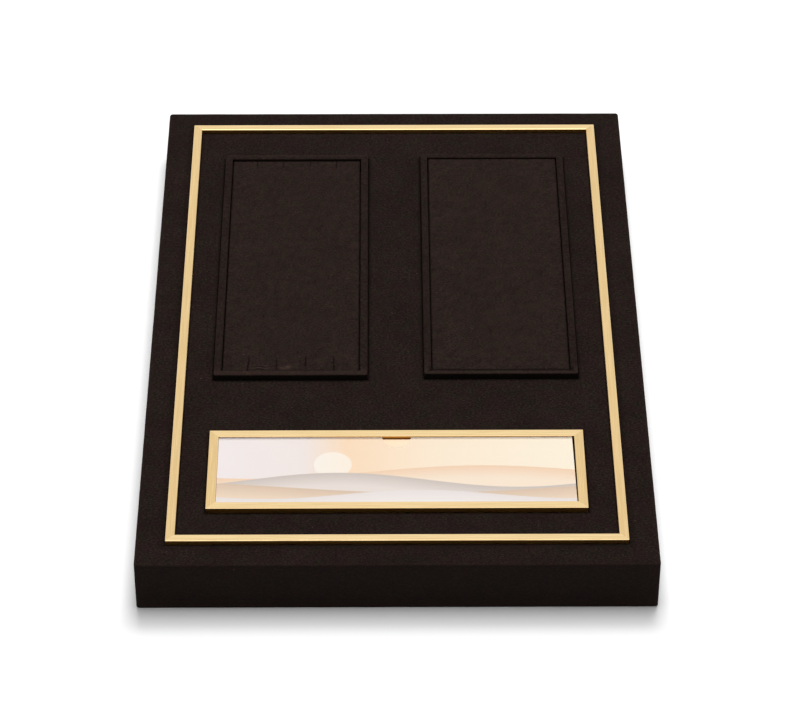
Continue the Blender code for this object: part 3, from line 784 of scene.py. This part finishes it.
def cut_slits(cover, low, high, shoulder):
    """Open the slits at both ends of an insert's suede, and pucker it beside the front ones."""
    middle = (low.x + high.x) / 2
    for index, place in enumerate(cover.points):
        if place.z < shoulder - INSERT_ROLL / 2:
            continue
        lift = pucker((place.x - middle) / MM, (place.y - low.y) / MM)
        # Painted highlight on the pucker's crests and painted shade in its troughs
        cover.folds[index] += PUCKER_LIGHT * lift
        place = place + Vector((0, 0, PUCKER * lift))
        for inward, row in ((place.y - low.y, FRONT_SLITS), (high.y - place.y, BACK_SLITS)):
            for across, (start, end, lean, wide) in zip(SLITS, row):
                away = abs(place.x - middle - across)
                if away > 3.5 * SLIT_HALF or not start - SLIT_EASE < inward < end + SLIT_EASE:
                    continue
                eased = min(1.0, (inward - start) / SLIT_EASE + 1, (end - inward) / SLIT_EASE + 1)
                place = place + Vector((lean * ((inward - start) / (end - start) - 0.5), 0, 0))
                # Painted shade in the slit's groove and along its lips
                if away < SLIT_HALF / 2:
                    place = place - Vector((0, 0, SLIT_DEEP * wide * eased))
                    cover.folds[index] = SLIT_CORE_SHADE * wide * eased
                elif away < 2 * SLIT_HALF:
                    cover.folds[index] = SLIT_SHADE * wide * eased
        cover.points[index] = place


def insert_cover(hand, slit):
    """The suede of an insert: turned under, up the side, and swollen over the top. It fills its
    border but for a gap."""
    low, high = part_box(hand + "_insert_cover")
    room = Vector((BORDER[hand] + INSERT_GAP, BORDER[hand] + INSERT_GAP))
    low.xy = pad_outline(hand)[0].xy + room
    high.xy = pad_outline(hand)[1].xy - room
    high.y += PUSHED_BACK
    shoulder = high.z - CROWN
    marks_x = [low.x + TOP_INSET, high.x - TOP_INSET]
    marks_y = [low.y + TOP_INSET, high.y - TOP_INSET]
    if slit:
        middle = (low.x + high.x) / 2
        marks_x += [middle + across + share * SLIT_HALF for across in SLITS
                    for share in (-3, -1, 0, 1, 3)]
        marks_x += [middle + (first + step * spacing) * MM
                    for first, spacing, count in PUCKER_ACROSS for step in range(count)]
        spacing, count = PUCKER_INWARD
        marks_y += [low.y + TOP_INSET + step * spacing * MM for step in range(count)]
    cover = Skin(low, high, INSERT_CORNER, CLOTH_STEP, marks_x, marks_y)
    outline = [(INSERT_RETURN, low.z, INSERT_RETURN, low.z + SUEDE, 0.0)]
    outline += [(inset, level, SUEDE, low.z + SUEDE, 0.0)
                for inset, level in turn_in(0, low.z, INSERT_ROLL, UNDER_ROLL_STEPS, False)]
    half_way = (low.z + shoulder) / 2
    outline += [(INSERT_WAIST, half_way, INSERT_WAIST + SUEDE, half_way, 0.0)]
    roll = turn_in(0, shoulder, INSERT_ROLL, ROLL_STEPS, True)
    # Painted shade darkens the roll towards its side
    outline += [(inset, level, SUEDE, shoulder - SUEDE,
                 INSERT_NAP - ROLL_SHADE * math.cos(math.pi * index / (2 * ROLL_STEPS)))
                for index, (inset, level) in enumerate(roll)]
    outline += [(TOP_INSET, shoulder, TOP_INSET, shoulder - SUEDE, INSERT_NAP)]
    cover.draw_over(outline)
    cover.lay_top(TOP_INSET, shoulder, shoulder - SUEDE)
    for index, place in enumerate(cover.points):
        if place.z > shoulder - NEAR:
            cover.folds[index] = INSERT_NAP + INSERT_MOTTLE * noise.noise(place / MOTTLE_SIZE)
    held = [index for index, place in enumerate(cover.points)
            if place.z < shoulder - NEAR
            or min(place.x - low.x, high.x - place.x, place.y - low.y, high.y - place.y)
            < INSERT_ROLL + NEAR]
    rested = swell(cover.points, cover.faces, held, CROWN)
    for index, place in enumerate(rested):
        cover.partners[index] = cover.partners[index] + place - cover.points[index]
        cover.points[index] = place
    if slit:
        cut_slits(cover, low, high, shoulder)
    cover.unsettle(INSERT_SWAY, PAD_SWAY_LENGTH)
    made = cover.make(hand + "_cover", suede)
    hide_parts(hand + "_insert_cover")
    return made


# The foam is sawn through its cells, which leaves it dull, pale and pitted
FOAM_CELL = 0.5 * MM
FOAM_STEP = 6 * MM
foam, tree, shader = new_material("open-cell polyurethane foam, sawn")
place = add_node(tree, "ShaderNodeTexCoord", {}, "Object")
cell = add_node(tree, "ShaderNodeTexVoronoi", {"Vector": place, "Scale": 1 / FOAM_CELL})
colour = colour_steps(tree, cell, [(0.1, "B9B29C"), (0.6, "E4DFCB")])
bump = add_node(tree, "ShaderNodeBump", {"Strength": 0.7, "Distance": 0.2 * MM, "Height": cell})
feed(tree, shader, {"Base Color": colour, "Roughness": 0.95, "Normal": bump})
# How the foam's top rises in mm: how far in from its edge, and how far over the crown's start
CROWN_STEPS = ((0.0, -1.0), (0.15, -0.4), (1.0, 0.0), (2.5, 0.14), (5.0, 0.26), (10.0, 0.36),
               (18.0, 0.4))


def insert_foam(name, node):
    """The slab of foam under an insert's suede, gently crowned."""
    low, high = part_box(node)
    slab = Skin(low, high, INSERT_CORNER, FOAM_STEP)
    steps = [(inset * MM, high.z - CROWN + rise * MM) for inset, rise in CROWN_STEPS]
    slab.draw_over([(inset, level, inset, low.z, 0.0) for inset, level in steps])
    slab.lay_top(steps[-1][0], high.z, low.z)
    made = slab.make(name, foam)
    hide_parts(node)
    return made


for hand, slit in (("left", True), ("right", False)):
    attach(insert_cover(hand, slit), hand + "_insert")
    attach(insert_foam(hand + "_foam", hand + "_insert_foam"), hand + "_insert")


# Card frame. The same brass bar, a little wider and standing higher, is mitred, welded and brushed
# like the trim. It is set in a pocket of its own and holds the card and its cover.

CARD_BAR = 4.4 * MM
CARD_CHAMFER = 0.12 * MM
brass_frame("brass_card_frame", "card_frame", CARD_BAR, CARD_CHAMFER)


# Printed card. Coated paper on stiff board, about 1.5 mm thick, with a plain printed scene of soft
# dunes under a low sun in blush, warm grey, peach and cream inks. It is smooth and faintly glossy.

HAIR_GAP = 0.07 * MM
WEDGE_FRONT = 0.5 * MM
WEDGE_BACK = 1.0 * MM
NOTCH = 6.8 * MM
CARD_CUT_BACK = 0.45 * MM
CARD_CORNER = 0.3 * MM
UNDER_COVER = 0.03 * MM
ACRYLIC = 1.0 * MM
SUN_PLACE = (-30 * MM, 4 * MM, 0.0)
SUN_RADIUS = 9 * MM
SUN_EDGE = 0.2 * MM
DUNE_EDGE = 0.3 * MM
DUNE_FADE = 9 * MM
seat_low, seat_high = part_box("card_frame")
acrylic_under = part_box("clear_cover")[1].z - ACRYLIC


def cut_for_seat(corner, dent):
    """(x, y) round a sheet that lies in the card frame, anticlockwise from its back left corner,
    with a dent in the middle of its back edge. Its right edge was cut a little out of square."""
    left, front = seat_low.x + CARD_BAR + HAIR_GAP, seat_low.y + CARD_BAR + HAIR_GAP
    right, back = seat_high.x - CARD_BAR, seat_high.y - CARD_BAR - HAIR_GAP
    edge = []
    for x, y, start in ((left, back, 90), (left, front, 180), (right - WEDGE_FRONT, front, 270),
                        (right - WEDGE_BACK, back, 0)):
        middle = math.radians(start + 45)
        x -= math.copysign(corner, math.cos(middle))
        y -= math.copysign(corner, math.sin(middle))
        for turn in range(start, start + 91, 30):
            edge.append((x + corner * math.cos(math.radians(turn)),
                         y + corner * math.sin(math.radians(turn))))
    centre = (seat_low.x + seat_high.x) / 2
    return edge + [(centre + x, back - depth) for x, depth in dent]


def cut_sheet(name, edge, low, high, material):
    """A flat sheet of an outline, between two levels."""
    count = len(edge)
    faces = [tuple(range(count, 2 * count)), tuple(reversed(range(count)))]
    faces += [(index, (index + 1) % count, count + (index + 1) % count, count + index)
              for index in range(count)]
    return add_piece(name, [Vector((x, y, level)) for level in (low, high) for x, y in edge],
                     faces, material, sharp=35)


card_low, card_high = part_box("printed_card")
card_middle = (card_low + card_high) / 2
card_ink, tree, shader = new_material("coated card, offset printed")
place = add_node(tree, "ShaderNodeTexCoord", {}, "Object")
centred = add_node(tree, "ShaderNodeMapping", {"Vector": place, "Location": -card_middle})
ways = add_node(tree, "ShaderNodeSeparateXYZ", {"Vector": centred}, None).outputs
across = add_node(tree, "ShaderNodeMapRange", {
    "Value": ways["X"], "From Min": card_low.x, "From Max": card_high.x})
colour = colour_steps(tree, across, [
    (0.0, "F3E7E6"), (0.24, "F2E3DE"), (0.36, "FCD8B4"), (0.6, "FDE6CB"), (1.0, "FEEED6")])
sun_away = add_node(tree, "ShaderNodeVectorMath", {
    0: centred, 1: SUN_PLACE}, "Value", operation="DISTANCE")
sun = add_node(tree, "ShaderNodeMapRange", {
    "Value": sun_away, "From Min": SUN_RADIUS - SUN_EDGE, "From Max": SUN_RADIUS + SUN_EDGE,
    "To Min": 0.7, "To Max": 0.0})
colour = add_node(tree, "ShaderNodeMix", {"Factor": sun, 6: colour, 7: paint("FFF6EA")}, 2,
                  data_type="RGBA")
# Each dune: its crest's height, swing and wave in mm, where on the wave it starts in radians, and
# its inks at the crest and the foot
DUNES = ((-1.0, 4.5, 34.0, 0.4, "F3CBA8", "FBE3CB"), (-6.5, 5.0, 27.0, 2.6, "C9BAB1", "E9DAD2"),
         (-11.5, 4.0, 41.0, 4.4, "D8B99E", "F0D3B8"), (-16.5, 3.0, 23.0, 1.1, "E9DDD9", "F4EAE5"))
for height, swing, length, start, crest_ink, foot_ink in DUNES:
    turned = add_node(tree, "ShaderNodeMath", {
        0: ways["X"], 1: 1 / (length * MM), 2: start}, operation="MULTIPLY_ADD")
    wave = add_node(tree, "ShaderNodeMath", {0: turned}, operation="SINE")
    crest = add_node(tree, "ShaderNodeMath", {0: wave, 1: swing * MM, 2: height * MM},
                     operation="MULTIPLY_ADD")
    below = add_node(tree, "ShaderNodeMath", {0: crest, 1: ways["Y"]}, operation="SUBTRACT")
    inside = add_node(tree, "ShaderNodeMapRange", {
        "Value": below, "From Min": 0.0, "From Max": DUNE_EDGE})
    faded = add_node(tree, "ShaderNodeMapRange", {
        "Value": below, "From Min": 0.0, "From Max": DUNE_FADE})
    dune = add_node(tree, "ShaderNodeMix", {
        "Factor": faded, 6: paint(crest_ink), 7: paint(foot_ink)}, 2, data_type="RGBA")
    colour = add_node(tree, "ShaderNodeMix", {"Factor": inside, 6: colour, 7: dune}, 2,
                      data_type="RGBA")
feed(tree, shader, {"Base Color": colour, "Roughness": 0.4})
# The card's back edge is cut back a little behind the notch, where the near-black board under it
# shows
cut_back_edge = [(NOTCH, 0.0), (NOTCH - CARD_CUT_BACK, CARD_CUT_BACK), (CARD_CUT_BACK - NOTCH, CARD_CUT_BACK),
        (-NOTCH, 0.0)]
card = cut_sheet("card_print", cut_for_seat(CARD_CORNER, cut_back_edge), card_low.z,
                 acrylic_under - UNDER_COVER, card_ink)
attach(card, "card")
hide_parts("printed_card")


# Clear cover. Cast acrylic sheet, laser-cut with a half-round finger notch at the back. Its faces
# are clear and glossy, and its cut edges are rougher and tinted faintly brown, as painted shade
# for the dark line along the sheet's edges. It lies loose on the card.

COVER_CORNER = 0.5 * MM
NOTCH_TURN = 5

clear, tree, shader = new_material("cast acrylic, clear, laser-cut edges")
# The cut edges are the faces that stand upright
surface = add_node(tree, "ShaderNodeNewGeometry", {}, "True Normal")
upward = add_node(tree, "ShaderNodeSeparateXYZ", {"Vector": surface}, "Z")
facing = add_node(tree, "ShaderNodeMath", {0: upward}, operation="ABSOLUTE")
# Painted shade: the upright cut edges are tinted brown
tint = add_node(tree, "ShaderNodeMix", {
    "Factor": facing, 6: paint("C2AE94"), 7: paint("FCFDFD")}, 2, data_type="RGBA")
rough = add_node(tree, "ShaderNodeMapRange", {"Value": facing, "To Min": 0.12, "To Max": 0.03})
feed(tree, shader, {
    "Base Color": tint, "Roughness": rough, "IOR": 1.49, "Transmission Weight": 1.0})
# Light that reaches the card passes straight through, as through thin clear sheet
rays = add_node(tree, "ShaderNodeLightPath", {}, None).outputs
lit = add_node(tree, "ShaderNodeMath", {
    0: rays["Is Shadow Ray"], 1: rays["Is Diffuse Ray"]}, operation="MAXIMUM")
unbent = add_node(tree, "ShaderNodeBsdfTransparent", {"Color": paint("FCFDFD")})
both = add_node(tree, "ShaderNodeMixShader", {"Fac": lit, 1: shader.outputs["BSDF"], 2: unbent})
feed(tree, tree.nodes["Material Output"], {"Surface": both})

half_round = [(NOTCH * math.cos(math.radians(turn)), NOTCH * math.sin(math.radians(turn)))
              for turn in range(0, 181, NOTCH_TURN)]
acrylic = cut_sheet("acrylic_cover", cut_for_seat(COVER_CORNER, half_round), acrylic_under,
                    acrylic_under + ACRYLIC, clear)
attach(acrylic, "cover")
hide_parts("clear_cover")


# Studio. The tray stands on a seamless white sweep under a large softbox overhead and another
# behind it, with a weak one in front and a faint white fill all round.

FLOOR_REACH = 3.0
# The wrap's glued underside isn't quite flat, and the floor lies just below its lowest point
FLOOR_LEVEL = -0.06 * MM
SWEEP_LIFT = 0.025
SWEEP_NEAR, SWEEP_FAR = 0.45, 2.0
sweep, tree, shader = new_material("white studio sweep, matt")
# Away from the tray, where the lamps light it less, the sweep is kept as white as it is near it
place = add_node(tree, "ShaderNodeTexCoord", {}, "Object")
away = add_node(tree, "ShaderNodeVectorMath", {0: place}, "Value", operation="LENGTH")
lift = add_node(tree, "ShaderNodeMapRange", {
    "Value": away, "From Min": SWEEP_NEAR, "From Max": SWEEP_FAR, "To Min": SWEEP_LIFT,
    "To Max": 1.0})
rays = add_node(tree, "ShaderNodeLightPath", {}, None).outputs
glow = add_node(tree, "ShaderNodeMath", {0: rays["Is Camera Ray"], 1: lift}, operation="MULTIPLY")
feed(tree, shader, {
    "Base Color": paint("FFFFFF"), "Roughness": 1.0, "Specular IOR Level": 0.0,
    "Emission Color": paint("FFFFFF"), "Emission Strength": glow})
floor_mesh = bpy.data.meshes.new("floor")
floor_mesh.from_pydata([(x * FLOOR_REACH, y * FLOOR_REACH, FLOOR_LEVEL)
                        for x, y in ((-1, -1), (1, -1), (1, 1), (-1, 1))], [], [(0, 1, 2, 3)])
floor_mesh.materials.append(sweep)
floor_sheet = new_object("floor", floor_mesh)


def softbox(name, place, size_x, size_y, watts):
    """A rectangular softbox aimed at the tray."""
    light = bpy.data.lights.new(name, "AREA")
    light.shape = "RECTANGLE"
    light.size = size_x
    light.size_y = size_y
    light.energy = watts
    lamp = new_object(name, light)
    lamp.location = place
    lamp.rotation_euler = (-Vector(place)).to_track_quat("-Z", "Y").to_euler()
    lamp.visible_camera = False
    return lamp


softbox("front", place=(0.1, -1.6, 2.1), size_x=1.0, size_y=0.66, watts=2.6)
# Brass and acrylic would mirror these two, so they light the tray and are left out of reflections
for lamp in (softbox("overhead", place=(0.08, 0.45, 2.5), size_x=1.1, size_y=1.9, watts=51.5),
             softbox("behind", place=(0.08, 1.35, 2.5), size_x=1.1, size_y=0.9, watts=23)):
    lamp.visible_glossy = False
    lamp.visible_transmission = False
world = bpy.data.worlds.new("white studio")
bpy.context.scene.world = world
world.use_nodes = True
tree = world.node_tree
# The camera, brass and acrylic see a white room, and the rest gets a faint fill from it
SKY_SEEN, SKY_FILL = 1.0, 0.12
rays = add_node(tree, "ShaderNodeLightPath", {}, None).outputs
seen = add_node(tree, "ShaderNodeMath", {0: rays["Is Camera Ray"], 1: rays["Is Glossy Ray"]},
                operation="ADD")
seen = add_node(tree, "ShaderNodeMath", {0: seen, 1: rays["Is Transmission Ray"]},
                operation="ADD", use_clamp=True)
glow = add_node(tree, "ShaderNodeMix", {"Factor": seen, "A": SKY_FILL, "B": SKY_SEEN})
feed(tree, tree.nodes["Background"], {"Color": paint("FFFFFF"), "Strength": glow})

# The photograph's lens and viewing angle, from its vanishing points, and the camera's place from
# the middle of the tray's top
FOCAL_PIXELS = 3290.3
PICTURE_WIDTH = 796
CAMERA_X, CAMERA_Y, CAMERA_RISE = -0.00668, -1.25922, 1.03407
camera_data = bpy.data.cameras.new("camera")
camera_data.sensor_width = 36.0
camera_data.lens = FOCAL_PIXELS * camera_data.sensor_width / PICTURE_WIDTH
camera = new_object("camera", camera_data)
ahead = Vector((0.004816, 0.765781, -0.643084)).normalized()
rightward = Vector((0.999985, -0.005324, 0.001149)).normalized()
aim = Matrix((rightward, rightward.cross(ahead), -ahead)).transposed().to_4x4()
camera.matrix_world = Matrix.Translation((CAMERA_X, CAMERA_Y, top + CAMERA_RISE)) @ aim
bpy.context.scene.camera = camera
bpy.context.scene.view_settings.view_transform = "Standard"
